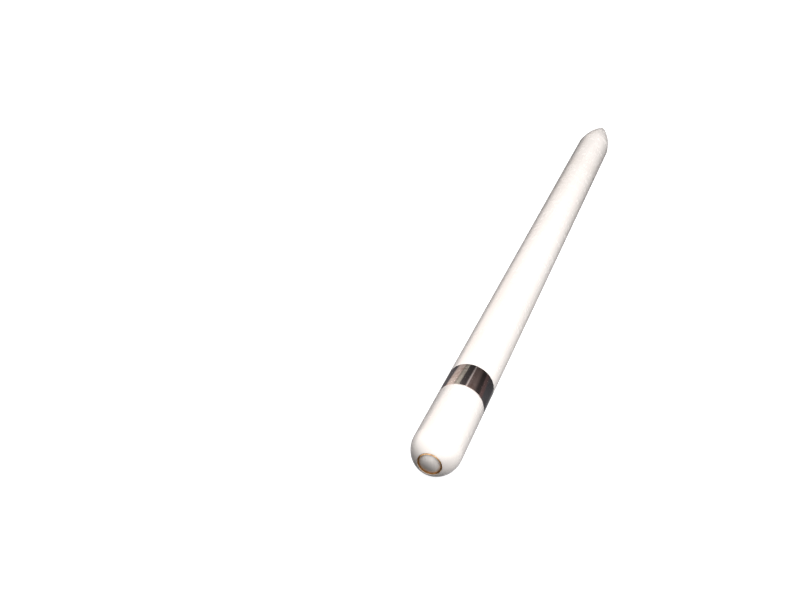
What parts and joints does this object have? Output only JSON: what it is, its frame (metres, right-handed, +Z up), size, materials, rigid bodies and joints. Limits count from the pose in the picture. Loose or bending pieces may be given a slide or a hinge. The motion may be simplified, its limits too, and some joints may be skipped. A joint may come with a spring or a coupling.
{
  "type": "stylus pen",
  "caption": "Round white stylus pen with a pull-off magnetic cap over a charging plug, a polished metal band and a tapered screw-on tip.",
  "frame": {"origin": "on the surface that the pen lies on, under the middle of its length", "axes": "+X along the pen from the cap to the tip, +Z up"},
  "size_m": [0.1756, 0.0088, 0.0089],
  "materials": {
    "white_gloss": "gloss",
    "white_matte": "matte",
    "grey_plastic": "matte",
    "black_plastic": "satin",
    "rubber_grey": "matte",
    "dark_mirror": "polished",
    "steel": "satin",
    "nickel": "satin",
    "bronze": "polished",
    "gold": "polished",
    "brass": "satin",
    "board_green": "satin",
    "amber_film": "gloss",
    "cell_can": "satin"
  },
  "bodies": {
    "body": {"band": "dark_mirror", "end_collar": "white_matte", "catch_ring": "steel", "antenna_ring": "amber_film", "plug_frame": "steel", "plug_core": "black_plastic", "plug_contact_1": "gold", "plug_contact_2": "gold", "plug_contact_3": "gold", "plug_contact_4": "gold", "plug_contact_5": "gold", "plug_contact_6": "gold", "plug_contact_7": "gold", "plug_contact_8": "gold", "plug_retainer": "black_plastic", "plug_flex": "amber_film", "barrel_shell": "white_gloss", "chassis_tube": "steel", "board_tray": "black_plastic", "main_board": "board_green", "roll_weight": "steel", "radio_shield": "nickel", "processor_chip": "black_plastic", "motion_sensor": "black_plastic", "clock_crystal": "nickel", "charger_chip": "black_plastic", "power_coil": "rubber_grey", "battery_board": "board_green", "battery_rear_insulator": "rubber_grey", "battery_cell": "cell_can", "battery_front_insulator": "rubber_grey", "battery_pad": "rubber_grey", "sensor_flex": "amber_film", "sensor_housing": "steel", "sensor_board": "board_green", "gauge_ring": "brass", "tilt_emitter_ring": "nickel", "nose_bush": "white_matte"},
    "cap_carrier": {"cap_magnet_ring": "nickel"},
    "cap": {"cap_shell": "white_gloss", "cap_end_disc": "white_gloss", "cap_trim_ring": "bronze", "cap_liner": "grey_plastic"},
    "tip_stem": {"tip_post": "steel", "sensor_plate": "steel", "stem_nut": "steel"},
    "tip_puller": {"tip_seal_ring": "rubber_grey"},
    "tip_lift": {"tip_core_pin": "nickel"},
    "tip": {"tip_shell": "white_gloss", "tip_insert": "brass"}
  },
  "joints": [
    {"name": "cap_pull_off", "type": "slide", "parent": "body", "child": "cap_carrier", "axis": [-1, 0, 0], "range_m": [0, 0.03]},
    {"name": "cap_turn", "type": "hinge", "parent": "cap_carrier", "child": "cap", "pos_m": [-0.08, 0, 0.00445], "axis": [1, 0, 0], "continuous": true},
    {"name": "tip_press", "type": "slide", "parent": "body", "child": "tip_stem", "axis": [-1, 0, 0], "range_m": [0, 0.0002], "stiffness_N_per_m": 10000},
    {"name": "tip_pull_off", "type": "slide", "parent": "tip_stem", "child": "tip_puller", "axis": [1, 0, 0], "range_m": [0, 0.012]},
    {"name": "tip_unscrew", "type": "slide", "parent": "tip_puller", "child": "tip_lift", "axis": [1, 0, 0], "range_m": [0, 0.0025]},
    {"name": "tip_turn", "type": "hinge", "parent": "tip_lift", "child": "tip", "pos_m": [0.08, 0, 0.00445], "axis": [1, 0, 0], "range_deg": [0, 1800]}
  ],
  "couplings": [
    {"joint": "tip_turn", "follows": "tip_unscrew", "rad_per_m": 12566}
  ]
}
